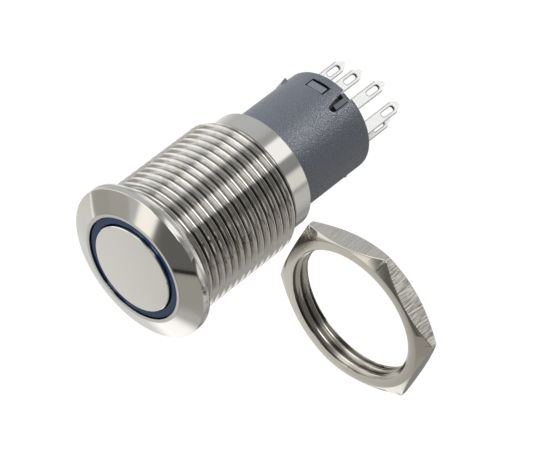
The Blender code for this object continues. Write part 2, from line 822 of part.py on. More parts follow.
def build_moving_contact(silver):
    """A rivet: a head on each side and a shank through the lever."""
    centre = uv_point(CONTACT_U, 0.0, 0.0)
    profile = [
        (0.0, LEVER_FRONT - CONTACT_HEAD),
        (CONTACT_R, LEVER_FRONT - CONTACT_HEAD),
        (CONTACT_R, LEVER_FRONT - RIVET_GAP),
        (SHANK_R, LEVER_FRONT - RIVET_GAP),
        (SHANK_R, LEVER_BACK + RIVET_GAP),
        (CONTACT_R, LEVER_BACK + RIVET_GAP),
        (CONTACT_R, LEVER_BACK + CONTACT_HEAD),
        (0.0, LEVER_BACK + CONTACT_HEAD),
    ]
    return turned("moving_contact", profile, SMALL, silver, centre=(centre.x, centre.z))


def build_fixed_contacts(silver):
    height = FIXED_CONTACT_HEIGHT - RIVET_GAP
    contact_button("fixed_contact_closed", CLOSED_FACE - height, CLOSED_FACE, CONTACT_R, silver)
    contact_button("fixed_contact_open", OPEN_FACE, OPEN_FACE + height, CONTACT_R, silver)


def build_springs(steel):
    axis = Vector((0.0, 0.0, 0.0))
    coil("return_spring", SPRING_R, WIRE_R, HEAD_BACK + SEAT_GAP, GUIDE_START - SEAT_GAP,
         SPRING_TURNS, axis, steel)
    coil("contact_spring", CONTACT_SPRING_R, CONTACT_WIRE_R, STEM_END + SEAT_GAP,
         LEVER_FRONT - SEAT_GAP, CONTACT_SPRING_TURNS, axis, steel)
    coil("lever_spring", LEVER_SPRING_R, CONTACT_WIRE_R, LEVER_BACK + SEAT_GAP,
         BASE_START - SEAT_GAP, LEVER_SPRING_TURNS, uv_point(LEVER_SPRING_U, 0.0, 0.0), steel)


# Panel nut

def build_nut(nickel):
    back = NUT_FRONT + NUT_THICK
    corner_r = NUT_FLATS / math.sqrt(3.0)
    ridge_r = NUT_CHAMFER_R + NUT_THICK / 2.0 / math.tan(math.radians(NUT_CHAMFER_ANGLE))
    lead_in = NUT_MOUTH_R - NUT_BORE_R
    nut = turned("hex_nut", [
        (NUT_MOUTH_R, NUT_FRONT),
        (NUT_CHAMFER_R, NUT_FRONT),
        (ridge_r, NUT_FRONT + NUT_THICK / 2.0),
        (NUT_CHAMFER_R, back),
        (NUT_MOUTH_R, back),
        (NUT_BORE_R, back - lead_in),
        (NUT_BORE_R, NUT_FRONT + lead_in),
    ], FINE, nickel, centre=(NUT_X, NUT_Z))
    prism = bmesh.new()
    bmesh.ops.create_cone(prism, cap_ends=True, segments=6, radius1=corner_r, radius2=corner_r,
                          depth=NUT_THICK + 2.0 * OVERCUT)
    stand = Matrix.Rotation(math.radians(90.0), 4, "X")
    roll = Matrix.Rotation(math.radians(30.0 - NUT_ROLL), 4, "Y")
    place = Matrix.Translation((NUT_X, NUT_FRONT + NUT_THICK / 2.0, NUT_Z))
    bmesh.ops.transform(prism, matrix=place @ roll @ stand, verts=prism.verts)
    hexagon = finish_mesh(prism, "nut_hexagon", None, smooth=False)
    combine(nut, hexagon, "INTERSECT")
    return nut


def main():
    remove_old_objects()
    steel = make_material("stainless_steel", (0.72, 0.71, 0.68), 0.25, 1.0)
    nickel = make_material("nickel_plate", (0.68, 0.66, 0.60), 0.3, 1.0)
    blue = make_material("blue_light_guide", (0.03, 0.06, 0.20), 0.2, 0.0)
    grey = make_material("blue_grey_plastic", (0.17, 0.18, 0.21), 0.5, 0.0)
    white = make_material("white_plastic", (0.75, 0.75, 0.72), 0.45, 0.0)
    rubber = make_material("black_rubber", (0.03, 0.03, 0.03), 0.7, 0.0)
    green = make_material("circuit_board", (0.03, 0.22, 0.10), 0.4, 0.0)
    lamp = make_material("lamp_chip", (0.85, 0.85, 0.65), 0.3, 0.0)
    ceramic = make_material("resistor_body", (0.05, 0.05, 0.06), 0.4, 0.0)
    wire = make_material("lead_insulation", (0.45, 0.04, 0.03), 0.5, 0.0)
    tin = make_material("tinned_brass", (0.82, 0.82, 0.80), 0.3, 1.0)
    copper = make_material("spring_copper", (0.80, 0.45, 0.25), 0.3, 1.0)
    silver = make_material("silver_contact", (0.88, 0.87, 0.85), 0.25, 1.0)

    build_bezel_barrel(steel)
    build_light_ring(blue)
    build_button_cap(steel)
    build_plunger(white)
    build_seal(rubber)
    build_clip(steel)
    build_guide(white)
    build_board(green)
    build_leds(lamp)
    build_resistor(ceramic)
    lead("led_lead_minus", lead_route(lead_front(LED_MINUS_AT), lead_end(LED_MINUS_AT)), wire)
    lead("led_lead_plus", lead_route(lead_front(LED_PLUS_AT), lead_end(LED_PLUS_AT)), wire)
    build_shell(grey)
    build_base(grey)
    build_terminals(tin)
    build_lever(copper)
    build_moving_contact(silver)
    build_fixed_contacts(silver)
    build_springs(steel)
    build_nut(nickel)


main()
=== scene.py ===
import math
import bmesh
import bpy
from mathutils import Euler, Matrix, Vector


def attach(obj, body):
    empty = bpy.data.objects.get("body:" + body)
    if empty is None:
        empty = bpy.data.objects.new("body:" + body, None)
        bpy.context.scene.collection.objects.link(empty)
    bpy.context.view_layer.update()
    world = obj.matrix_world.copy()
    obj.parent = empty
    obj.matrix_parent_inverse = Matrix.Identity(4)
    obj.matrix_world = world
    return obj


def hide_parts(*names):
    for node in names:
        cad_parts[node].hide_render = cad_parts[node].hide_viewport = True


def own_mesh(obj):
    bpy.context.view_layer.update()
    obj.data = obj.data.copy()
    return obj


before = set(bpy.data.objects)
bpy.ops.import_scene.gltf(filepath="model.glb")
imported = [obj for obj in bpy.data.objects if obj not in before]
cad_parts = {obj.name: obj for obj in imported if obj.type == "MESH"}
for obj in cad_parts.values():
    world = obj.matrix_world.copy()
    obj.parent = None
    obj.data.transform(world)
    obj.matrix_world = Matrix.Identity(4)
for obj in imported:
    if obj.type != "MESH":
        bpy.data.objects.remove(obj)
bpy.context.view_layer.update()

MM = 0.001

# Sizes in millimetres and angles in degrees, the solids' own wherever they have the feature
BEZEL_R = 9.07
BEZEL_FACE = -2.1
RIM_FRONT = -1.1
FACE_R = 6.6
RECESS_R = 6.23
RECESS_STEP = -0.5
TICKS = 270
TICKS_START = -0.5
TICK_DEPTH = 0.06
UNDERCUT_R = 8.1
UNDERCUT_DEPTH = 0.1
THREAD_R = 8.0
THREAD_ROOT_R = 7.44
THREAD_START = 0.7
THREAD_END = 15.2
PITCH = 1.0
NECK_R = 7.35
NECK_END = THREAD_START - 0.55
COLLAR_R = 7.03
BARREL_END = 18.0
BORE_R = 6.13
RING_OUTER_R = 6.13
RING_TUBE_R = 6.03
RING_BORE_R = 5.3
RING_FRONT = -1.9
RING_LIP_END = -0.6
RING_END = 4.6
CAP_R = 5.2
CAP_FRONT = -2.24
CAP_BACK = -1.04
CAP_EDGE = 0.08
PIN_R = 1.6
PIN_LENGTH = 2.2
SHELL_R = 6.03
SHELL_BORE_R = 5.2
SHELL_FRONT_BORE_R = 5.0
SHELL_START = 9.6
SHELL_STEP = 21.9
SHELL_END = 29.0
SHELL_FILLET = 0.65
WINDOW_ANGLES = (-60.0, 0.0, 150.0, 210.0)
WINDOW_START = 26.35
WINDOW_END = 27.7
WINDOW_WIDTH = 2.5
KEY_SLOT_ANGLE = 29.6
KEY_SLOT_WIDTH = 0.86
KEY_SLOT_MOUTH = 1.5
KEY_SLOT_LENGTH = 3.4
SLOPE_WIDTH = 0.30
SLOPE_DEPTH = 0.22
TOOL_DEPTH = 2.4
TOOL_OVERRUN = 1.0
TAG_ANGLE = 120.0
TAG_HALF = 0.7
TAG_START = 29.5
EYE_HALF = 0.3
EYE_MIDDLE = 34.05
EYE_STRAIGHT = 0.65
NUT_FLATS = 18.0
NUT_THICK = 2.4
NUT_BORE_R = 7.46
NUT_GROOVE = 0.55
NUT_MOUTH_R = 7.85
NUT_CHAMFER_R = 8.85
NUT_CHAMFER_SLOPE = 30.0
NUT_X = 21.65
NUT_Z = 0.6
NUT_FRONT = 7.36
NUT_ROLL = 8.5
FILED_ANGLE = 51.5
FLOOR_Z = -9.3

# Directions across a tag and out of its flat side
ACROSS_TAG = (math.sin(math.radians(TAG_ANGLE)), 0.0, math.cos(math.radians(TAG_ANGLE)))
OUT_OF_TAG = (-ACROSS_TAG[2], 0.0, ACROSS_TAG[0])

# Studio, in metres
LIGHT_AIM = (0.010, 0.012, 0.0)
LIGHT_DISTANCE = 0.6
CAMERA_PLACE = (0.20479, -0.21018, 0.28693)
CAMERA_TILT = 46.10
CAMERA_TURN = 41.74
CAMERA_LENS = 262.6


# Nodes of materials

class Tree:
    """Short calls for wiring one node tree."""

    def __init__(self, tree):
        self.nodes = tree.nodes
        self.links = tree.links

    def add(self, kind, **values):
        node = self.nodes.new(kind)
        for key, value in values.items():
            setattr(node, key, value)
        return node

    def join(self, source, target):
        self.links.new(source, target)

    def feed(self, target, value):
        """Give an input a number, a colour or another node's output."""
        if isinstance(value, (int, float, tuple)):
            target.default_value = value
        else:
            self.join(value, target)

    def math(self, operation, a, b=0.0):
        node = self.add("ShaderNodeMath", operation=operation)
        self.feed(node.inputs[0], a)
        self.feed(node.inputs[1], b)
        return node.outputs[0]

    def plus(self, a, b):
        return self.math("ADD", a, b)

    def minus(self, a, b):
        return self.math("SUBTRACT", a, b)

    def times(self, a, b):
        return self.math("MULTIPLY", a, b)

    def above(self, a, b):
        return self.math("GREATER_THAN", a, b)

    def below(self, a, b):
        return self.math("LESS_THAN", a, b)

    def size(self, a):
        return self.math("ABSOLUTE", a)

    def apart(self, a, b):
        """How far apart two numbers are."""
        return self.size(self.minus(a, b))

    def length(self, a, b):
        """The long side of a right-angled triangle."""
        return self.math("SQRT", self.plus(self.times(a, a), self.times(b, b)))

    def about(self, value, spread, middle):
        """A value between 0 and 1 becomes a spread about a middle."""
        return self.plus(self.times(self.minus(value, 0.5), spread), middle)

    def ramp(self, value, low, high, start=0.0, end=1.0, smooth=False):
        node = self.add("ShaderNodeMapRange")
        if smooth:
            node.interpolation_type = "SMOOTHSTEP"
        self.feed(node.inputs["Value"], value)
        node.inputs["From Min"].default_value = low
        node.inputs["From Max"].default_value = high
        node.inputs["To Min"].default_value = start
        node.inputs["To Max"].default_value = end
        return node.outputs["Result"]

    def band(self, value, low, high, low_soft, high_soft):
        """1 between two values, falling to 0 over a soft edge beyond each."""
        return self.times(self.ramp(value, low - low_soft, low), self.ramp(value, high + high_soft, high))

    def mix(self, factor, a, b):
        node = self.add("ShaderNodeMix", data_type="RGBA")
        self.feed(node.inputs[0], factor)
        self.feed(node.inputs[6], a)
        self.feed(node.inputs[7], b)
        return node.outputs[2]

    def noise(self, vector, scale, detail=2.0, roughness=0.5, dimensions="3D"):
        node = self.add("ShaderNodeTexNoise", noise_dimensions=dimensions)
        if dimensions == "1D":
            self.feed(node.inputs["W"], vector)
        else:
            self.feed(node.inputs["Vector"], vector)
        node.inputs["Scale"].default_value = scale
        node.inputs["Detail"].default_value = detail
        node.inputs["Roughness"].default_value = roughness
        return node.outputs["Fac"]

    def place(self):
        """Object coordinates in millimetres."""
        source = self.add("ShaderNodeTexCoord")
        scale = self.add("ShaderNodeVectorMath", operation="SCALE")
        self.join(source.outputs["Object"], scale.inputs[0])
        scale.inputs["Scale"].default_value = 1000.0
        return scale.outputs[0]

    def normal(self):
        return self.add("ShaderNodeTexCoord").outputs["Normal"]

    def split(self, vector):
        node = self.add("ShaderNodeSeparateXYZ")
        self.join(vector, node.inputs[0])
        return node.outputs

    def gather(self, x, y, z):
        node = self.add("ShaderNodeCombineXYZ")
        self.feed(node.inputs[0], x)
        self.feed(node.inputs[1], y)
        self.feed(node.inputs[2], z)
        return node.outputs[0]

    def dot(self, vector, fixed):
        node = self.add("ShaderNodeVectorMath", operation="DOT_PRODUCT")
        self.join(vector, node.inputs[0])
        node.inputs[1].default_value = fixed
        return node.outputs["Value"]

    def polar(self, vector, centre=(0.0, 0.0)):
        """Radius about a line along Y, angle from +Z towards +X in radians, and y."""
        parts = self.split(vector)
        x = self.minus(parts[0], centre[0])
        z = self.minus(parts[2], centre[1])
        return self.length(x, z), self.math("ARCTAN2", x, z), parts[1]

    def rings(self, radius, along):
        """Fine rings that a lathe leaves, on sides and faces alike."""
        return self.noise(self.plus(radius, self.times(along, 1.3)), 14.0, 3.0, 0.6, "1D")

    def streaks(self, vector):
        """Fine streaks along Y."""
        parts = self.split(vector)
        at = self.gather(self.times(parts[0], 9.0), self.times(parts[1], 0.6), self.times(parts[2], 9.0))
        return self.noise(at, 1.0, 3.0, 0.6)

    def bump(self, height, distance, strength):
        """Relief whose distance is in millimetres."""
        node = self.add("ShaderNodeBump")
        self.join(height, node.inputs["Height"])
        node.inputs["Distance"].default_value = distance * MM
        node.inputs["Strength"].default_value = strength
        return node.outputs[0]


def shader_of(name, metallic=0.0):
    """A new material, its principled shader's inputs and its tree."""
    material = bpy.data.materials.new(name)
    material.use_nodes = True
    inputs = material.node_tree.nodes["Principled BSDF"].inputs
    inputs["Metallic"].default_value = metallic
    return material, inputs, Tree(material.node_tree)


def colour(r, g, b):
    return (r, g, b, 1.0)


def shade(tint, factor=1.0):
    """A tint as a node's colour, darker or lighter by a factor."""
    return colour(*(c * factor for c in tint))


# A dark brown used as painted shade in the thread roots, and to darken the barrel's flat face
DARK_BROWN = colour(0.05, 0.042, 0.034)


def turned_metal(name, tint, rough, spread, polished):
    """Metal cut on a lathe, with fine rings, and smoother outside one radius."""
    material, inputs, t = shader_of(name, 1.0)
    at = t.place()
    radius, _, along = t.polar(at)
    rings = t.rings(radius, along)
    fine = t.noise(t.plus(radius, t.times(along, 1.1)), 45.0, 2.0, 0.6, "1D")
    cloud = t.noise(at, 0.35, 3.0, 0.55)
    level = t.about(cloud, spread, t.about(rings, spread, rough))
    edge = t.ramp(radius, polished - 0.03, polished + 0.03, 1.0, 0.3)
    t.join(t.times(level, edge), inputs["Roughness"])
    t.join(t.mix(cloud, shade(tint, 0.95), shade(tint, 1.05)), inputs["Base Color"])
    t.join(t.bump(t.plus(rings, t.times(fine, 0.5)), 0.0004, 0.6), inputs["Normal"])
    return material


def barrel_metal(name, tint, rough, spread):
    """Polished steel: stained in the thread, with painted shade in the thread's roots, darker and duller on
    the flat face, and duller on the back of the rim.
    """
    material, inputs, t = shader_of(name, 1.0)
    at = t.place()
    radius, _, along = t.polar(at)
    rings = t.rings(radius, along)
    cloud = t.noise(at, 0.35, 3.0, 0.55)
    level = t.about(cloud, spread, t.about(rings, spread, rough))
    face = t.ramp(along, BEZEL_FACE + 0.06, BEZEL_FACE + 0.02)
    level = t.plus(level, t.times(face, 0.10))
    rim = t.times(t.above(radius, BEZEL_R - 0.12), t.above(along, TICKS_START - 0.1))
    level = t.plus(level, t.times(rim, 0.16))
    t.join(level, inputs["Roughness"])
    # Painted shade in the thread's roots, between the neck and the collar; the flat face is also darkened a
    # fifth of the way towards the same colour
    deep = t.ramp(radius, THREAD_ROOT_R + 0.03, THREAD_ROOT_R + 0.19, 0.0, 1.0, True)
    threaded = t.times(t.above(along, -0.05), t.below(along, THREAD_END))
    root = t.times(t.minus(1.0, deep), threaded)
    dark = t.plus(t.times(root, 0.92), t.times(face, 0.2))
    plain = t.mix(cloud, shade(tint, 0.96), shade(tint, 1.03))
    stain = t.times(t.ramp(t.noise(at, 1.4, 3.0, 0.6), 0.45, 0.65), threaded)
    plain = t.mix(t.times(stain, 0.5), plain, colour(0.50, 0.455, 0.40))
    t.join(t.mix(dark, plain, DARK_BROWN), inputs["Base Color"])
    lines = t.noise(t.plus(along, t.times(radius, 0.4)), 11.0, 3.0, 0.7, "1D")
    cut = t.times(t.times(lines, threaded), 14.0)
    t.join(t.bump(t.plus(rings, cut), 0.0003, 0.6), inputs["Normal"])
    return material


def brushed_metal(name, tint, rough, spread):
    """Rolled or stamped metal with fine streaks along Y."""
    material, inputs, t = shader_of(name, 1.0)
    at = t.place()
    streaks = t.streaks(at)
    cloud = t.noise(at, 0.8, 3.0, 0.55)
    t.join(t.about(streaks, spread, rough), inputs["Roughness"])
    t.join(t.mix(cloud, shade(tint, 0.9), shade(tint)), inputs["Base Color"])
    t.join(t.bump(streaks, 0.002, 0.5), inputs["Normal"])
    return material


def moulded(name, tint, rough, grain, depth, mottle, specular=0.5):
    """Moulded plastic with a fine spark-eroded grain."""
    material, inputs, t = shader_of(name)
    at = t.place()
    speck = t.noise(at, grain, 2.0, 0.6)
    cloud = t.noise(at, 0.45, 3.0, 0.5)
    both = t.plus(t.times(speck, 0.5), t.times(cloud, 0.5))
    t.join(t.mix(both, shade(tint, 1.0 - mottle), shade(tint, 1.0 + mottle)), inputs["Base Color"])
    t.join(t.about(speck, 0.25, rough), inputs["Roughness"])
    inputs["IOR"].default_value = 1.5
    inputs["Specular IOR Level"].default_value = specular
    t.join(t.bump(speck, depth, 0.7), inputs["Normal"])
    return material


def shell_plastic(name, tint, rough):
    """Grained plastic with painted shade: near black inside its windows and in the key slot."""
    material, inputs, t = shader_of(name)
    at = t.place()
    radius, angle, along = t.polar(at)
    speck = t.noise(at, 5.5, 2.0, 0.6)
    fine = t.noise(at, 14.0, 1.0, 0.5)
    cloud = t.noise(at, 0.45, 3.0, 0.5)
    both = t.plus(t.times(speck, 0.5), t.times(cloud, 0.5))
    plain = t.mix(both, shade(tint, 0.75), shade(tint, 1.25))
    # The painted shade starts deeper where the surface slopes down to the key slot
    key = t.below(t.apart(angle, math.radians(KEY_SLOT_ANGLE)), math.radians(12.0))
    wall = t.minus(SHELL_R - 0.06, t.times(key, 0.2))
    inside = t.times(t.below(radius, wall), t.below(along, SHELL_END - SHELL_FILLET))
    # Painted shade: the walls inside the windows and the key slot are near black, rougher and barely shiny
    t.join(t.mix(inside, plain, colour(0.012, 0.013, 0.016)), inputs["Base Color"])
    t.join(t.plus(t.about(speck, 0.9, rough), t.times(inside, 0.3)), inputs["Roughness"])
    inputs["IOR"].default_value = 1.46
    t.join(t.minus(1.0, t.times(inside, 0.85)), inputs["Specular IOR Level"])
    t.join(t.bump(t.plus(speck, t.times(fine, 0.4)), 0.055, 1.0), inputs["Normal"])
    return material


def base_plastic(name, tint, rough):
    """The base's plastic: its catches keep their own grey, and its body below them, deep inside the shell,
    is darkened by painted shade.
    """
    material, inputs, t = shader_of(name)
    at = t.place()
    radius, _, _ = t.polar(at)
    speck = t.noise(at, 15.0, 2.0, 0.6)
    top = t.ramp(radius, 5.5, 5.75, 0.0, 1.0, True)
    light = t.mix(speck, shade(tint, 0.9), shade(tint, 1.1))
    # Painted shade: the body below the catches is a quarter as bright as their own grey
    t.join(t.mix(top, shade(tint, 0.25), light), inputs["Base Color"])
    t.join(t.about(speck, 0.25, rough), inputs["Roughness"])
    t.join(t.bump(speck, 0.004, 0.7), inputs["Normal"])
    return material


def tag_tin(name, tint, rough, middle):
    """Dull tin with painted shade: darker at the tag's edges and darkest where its eye ends."""
    material, inputs, t = shader_of(name, 1.0)
    normal = t.normal()
    # Painted shade: faces turned away from the tag's flat sides are darker, and the wall where the eye ends
    # is near black
    flat = t.ramp(t.size(t.dot(normal, OUT_OF_TAG)), 0.75, 0.97, 0.0, 1.0, True)
    end = t.ramp(t.split(normal)[1], -0.4, -0.8, 0.0, 1.0, True)
    at = t.place()
    streaks = t.streaks(at)
    cloud = t.noise(at, 1.6, 3.0, 0.6)
    plain = t.mix(cloud, shade(tint, 0.9), shade(tint, 1.06))
    # Painted shade: dark lines along the tag's sides and round its eye
    width = t.minus(t.dot(at, ACROSS_TAG), middle)
    margin = t.ramp(t.size(width), TAG_HALF - 0.15, TAG_HALF - 0.07)
    beyond = t.minus(t.apart(t.split(at)[1], EYE_MIDDLE), EYE_STRAIGHT)
    from_eye = t.length(width, t.math("MAXIMUM", beyond, 0.0))
    margin = t.math("MAXIMUM", margin, t.ramp(from_eye, EYE_HALF + 0.14, EYE_HALF + 0.06))
    flat = t.times(flat, t.minus(1.0, t.times(margin, 0.85)))
    edged = t.mix(flat, shade(tint, 0.42), plain)
    t.join(t.mix(end, edged, colour(0.03, 0.03, 0.03)), inputs["Base Color"])
    t.join(t.about(streaks, 0.12, rough), inputs["Roughness"])
    t.join(t.bump(streaks, 0.002, 0.5), inputs["Normal"])
    return material


def nut_metal(name, tint):
    """Nickel plate: filed across one flat, with painted shade in the thread's roots."""
    material, inputs, t = shader_of(name, 1.0)
    at = t.place()
    radius, angle, along = t.polar(at, (NUT_X, NUT_Z))
    rings = t.rings(radius, along)
    cloud = t.noise(at, 0.35, 3.0, 0.55)
    grain = t.noise(at, 9.0, 2.0, 0.6)
    # Strokes across the thickness, strong on the filed flat and faint on the others
    stroke_at = t.gather(t.times(angle, 48.0), t.times(along, 0.40), 0.0)
    strokes = t.ramp(t.noise(stroke_at, 1.0, 5.0, 0.75), 0.40, 0.58)
    outside = t.ramp(radius, NUT_CHAMFER_R + 0.02, NUT_CHAMFER_R + 0.12)
    outside = t.times(outside, t.ramp(t.size(t.split(t.normal())[1]), 0.35, 0.2))
    filed = t.below(t.apart(angle, math.radians(FILED_ANGLE)), math.radians(30.0))
    filed = t.times(t.plus(t.times(filed, 0.8), 0.2), outside)
    # Painted shade between the turns of the thread
    inside = t.times(t.above(along, NUT_FRONT + 0.12), t.below(along, NUT_FRONT + NUT_THICK - 0.12))
    inside = t.times(inside, t.below(radius, NUT_BORE_R + NUT_GROOVE + 0.1))
    root = t.times(t.ramp(radius, NUT_BORE_R + 0.28, NUT_BORE_R + 0.45, 0.0, 1.0, True), inside)
    plain = t.mix(cloud, shade(tint, 0.94), shade(tint, 1.04))
    plain = t.mix(t.times(grain, 0.12), plain, shade(tint, 0.5))
    scored = t.mix(strokes, shade(tint, 0.5), colour(0.98, 0.95, 0.88))
    plain = t.mix(filed, plain, scored)
    t.join(t.mix(t.times(root, 0.88), plain, DARK_BROWN), inputs["Base Color"])
    t.join(t.plus(t.about(rings, 0.10, 0.18), t.times(filed, 0.18)), inputs["Roughness"])
    height = t.plus(rings, t.times(t.times(strokes, filed), 12.0))
    t.join(t.bump(height, 0.0005, 0.6), inputs["Normal"])
    return material


# Meshes

def object_from(bm, name):
    """A bmesh in millimetres becomes an object in metres."""
    bmesh.ops.recalc_face_normals(bm, faces=bm.faces)
    bmesh.ops.scale(bm, vec=(MM, MM, MM), verts=bm.verts)
    mesh = bpy.data.meshes.new(name)
    bm.to_mesh(mesh)
    bm.free()
    obj = bpy.data.objects.new(name, mesh)
    bpy.context.collection.objects.link(obj)
    return obj


def finish(bm, name, material, body, nodes, sharp=30.0):
    """A bmesh becomes a smooth piece that rides on a body and stands for some nodes."""
    bmesh.ops.remove_doubles(bm, verts=bm.verts, dist=1e-5)
    obj = object_from(bm, name)
    obj.data.shade_smooth()
    obj.data.set_sharp_from_angle(angle=math.radians(sharp))
    obj.data.materials.append(material)
    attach(obj, body)
    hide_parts(*nodes)
    return obj


def bevel(obj, width, segments):
    """A modifier that rounds the sharp edges by a width in millimetres."""
    edge = obj.modifiers.new("edge", "BEVEL")
    edge.width = width * MM
    edge.segments = segments
    edge.limit_method = "ANGLE"
    edge.angle_limit = math.radians(40.0)
    return edge


def around(radius, angle, y, centre=(0.0, 0.0)):
    """A point at an angle in radians from +Z towards +X."""
    return (centre[0] + radius * math.sin(angle), y, centre[1] + radius * math.cos(angle))


def skin(bm, columns):
    """Faces from each column of points to the next, and from the last to the first."""
    for a, b in zip(columns, columns[1:] + columns[:1]):
        for j in range(len(a) - 1):
            bm.faces.new((a[j], a[j + 1], b[j + 1], b[j]))


def lathe(bm, profile, steps, closed=True):
    """Faces swept round the Y axis from (radius, y) points."""
    columns = []
    for i in range(steps):
        angle = math.tau * i / steps
        columns.append([bm.verts.new(around(r, angle, y)) for r, y in profile])
    count = len(profile)
    last = count if closed else count - 1
    for a, b in zip(columns, columns[1:] + columns[:1]):
        for j in range(last):
            k = (j + 1) % count
            # A point on the axis turns the face into a triangle
            if profile[j][0] <= 0.0 and profile[k][0] <= 0.0:
                continue
            corners = [a[j], a[k], b[k], b[j]]
            if profile[j][0] <= 0.0:
                corners = [a[j], a[k], b[k]]
            elif profile[k][0] <= 0.0:
                corners = [a[j], a[k], b[j]]
            bm.faces.new(corners)


def rounded(profile, radii, steps=4, closed=True):
    """Replace each corner that has a radius by a short arc."""
    result = []
    count = len(profile)
    for i, (point, radius) in enumerate(zip(profile, radii)):
        here = Vector(point)
        if radius <= 0.0 or (not closed and i in (0, count - 1)):
            result.append(point)
            continue
        before = (Vector(profile[i - 1]) - here).normalized()
        after = (Vector(profile[(i + 1) % count]) - here).normalized()
        half = before.angle(after) / 2.0
        reach = radius / math.tan(half)
        middle = here + (before + after).normalized() * (radius / math.sin(half))
        first = here + before * reach - middle
        last = here + after * reach - middle
        for s in range(steps + 1):
            turn = first.lerp(last, s / steps).normalized() * radius
            result.append(tuple(middle + turn))
    return result


def thread(bm, start, end, radius_at, columns, rows, centre=(0.0, 0.0)):
    """A helical surface, right-handed, from start to end along Y."""
    total = (int(math.ceil((end - start) / PITCH)) + 1) * rows
    grid = []
    for i in range(columns + 1):
        angle = math.tau * i / columns
        line = []
        for j in range(total + 1):
            y = start - PITCH + PITCH * (j / rows + i / columns)
            y = min(max(y, start), end)
            phase = (j % rows) / rows
            line.append(bm.verts.new(around(radius_at(phase, y), angle, y, centre)))
        grid.append(line)
    for a, b in zip(grid, grid[1:]):
        for j in range(total):
            corners = [a[j], a[j + 1], b[j + 1], b[j]]
            # Rows held back at an end fall together
            if len({tuple(round(c, 6) for c in v.co) for v in corners}) < 3:
                continue
            bm.faces.new(corners)


def groove(phase, power):
    """Share of the groove's depth: rounded crests at whole phases, narrow roots between."""
    return math.sin(math.pi * phase) ** power


# Materials

steel_face = barrel_metal("steel_turned", (0.63, 0.62, 0.59), 0.09, 0.04)
cap_metal = turned_metal("cap_steel", (0.70, 0.69, 0.655), 0.34, 0.08, CAP_R - CAP_EDGE)
nickel = nut_metal("nut_nickel", (0.57, 0.545, 0.49))
ring_blue = moulded("ring_blue", (0.006, 0.034, 0.105), 0.16, 9.0, 0.0004, 0.12, 0.2)
shell_grey = shell_plastic("shell_grey", (0.054, 0.062, 0.081), 0.34)
base_grey = base_plastic("catch_grey", (0.115, 0.123, 0.148), 0.40)
inner_white = moulded("inner_white", (0.72, 0.72, 0.68), 0.42, 12.0, 0.002, 0.05)
rubber = moulded("seal_rubber", (0.022, 0.022, 0.024), 0.62, 18.0, 0.004, 0.2, 0.4)
board = moulded("board_green", (0.02, 0.17, 0.075), 0.32, 20.0, 0.002, 0.2)
lamp = moulded("lamp_chip", (0.86, 0.80, 0.46), 0.22, 12.0, 0.001, 0.06)
resistor = moulded("resistor_body", (0.028, 0.028, 0.032), 0.35, 20.0, 0.002, 0.3)
insulation = moulded("lead_insulation", (0.42, 0.03, 0.025), 0.40, 14.0, 0.002, 0.1)
spring_steel = brushed_metal("spring_steel", (0.62, 0.61, 0.58), 0.24, 0.08)
copper = brushed_metal("lever_copper", (0.78, 0.42, 0.24), 0.30, 0.12)
silver = brushed_metal("contact_silver", (0.86, 0.85, 0.82), 0.26, 0.10)


# Pieces with finer shapes than the solids have

def build_barrel():
    """Bezel, thread and collar in one piece."""
    front = rounded(
        [
            (RECESS_R, RECESS_STEP),
            (RECESS_R, BEZEL_FACE),
            (FACE_R, BEZEL_FACE),
            (BEZEL_R, RIM_FRONT),
            (BEZEL_R, TICKS_START),
        ],
        [0.0, 0.03, 0.05, 0.07, 0.0], 5, closed=False)
    bm = bmesh.new()
    lathe(bm, front, 256, closed=False)
    # Fine ticks round the back part of the rim: y, share of their depth, and how far in
    rows = (
        (TICKS_START, 0.0, 0.0),
        (-0.47, 0.5, 0.0),
        (-0.44, 1.0, 0.0),
        (-0.09, 1.0, 0.0),
        (-0.06, 0.6, 0.0),
        (-0.03, -0.4, 0.03),
    )
    cuts = (0.0, TICK_DEPTH / 2.0, TICK_DEPTH, TICK_DEPTH / 2.0)
    steps = TICKS * len(cuts)
    columns = []
    for i in range(steps):
        angle = math.tau * i / steps
        cut = cuts[i % len(cuts)]
        columns.append([bm.verts.new(around(BEZEL_R - cut * share - inward, angle, y))
                        for y, share, inward in rows])
    skin(bm, columns)
    back = [
        (BEZEL_R - 0.03, -0.03),
        (BEZEL_R - 0.08, 0.0),
        (UNDERCUT_R, 0.0),
        (UNDERCUT_R, -UNDERCUT_DEPTH),
        (NECK_R, -UNDERCUT_DEPTH),
        (NECK_R, NECK_END),
    ]
    lathe(bm, back, 256, closed=False)

    def radius_at(phase, y):
        """The thread between the chamfers at its two ends."""
        cut = THREAD_R - (THREAD_R - THREAD_ROOT_R) * groove(phase, 2.2)
        from_start = NECK_R + max(0.0, y - NECK_END) * 1.18
        from_end = THREAD_ROOT_R + 0.02 + max(0.0, THREAD_END - y) * 0.55
        return min(cut, from_start, from_end)

    thread(bm, NECK_END, THREAD_END, radius_at, 256, 20)
    tail = rounded(
        [
            (THREAD_ROOT_R, THREAD_END),
            (COLLAR_R, THREAD_END),
            (COLLAR_R, BARREL_END),
            (BORE_R, BARREL_END),
            (BORE_R, RECESS_STEP),
            (RECESS_R, RECESS_STEP),
        ],
        [0.0, 0.02, 0.12, 0.05, 0.0, 0.0], 4, closed=False)
    lathe(bm, tail, 256, closed=False)
    finish(bm, "threaded_barrel", steel_face, "switch_body", ["bezel_barrel"])


def build_ring():
    profile = rounded(
        [
            (RING_BORE_R, RING_FRONT),
            (RING_OUTER_R, RING_FRONT),
            (RING_OUTER_R, RING_LIP_END),
            (RING_TUBE_R, RING_LIP_END),
            (RING_TUBE_R, RING_END),
            (RING_BORE_R, RING_END),
        ],
        [0.06, 0.06, 0.0, 0.0, 0.05, 0.05])
    bm = bmesh.new()
    lathe(bm, profile, 192)
    finish(bm, "lamp_ring", ring_blue, "switch_body", ["light_ring"])


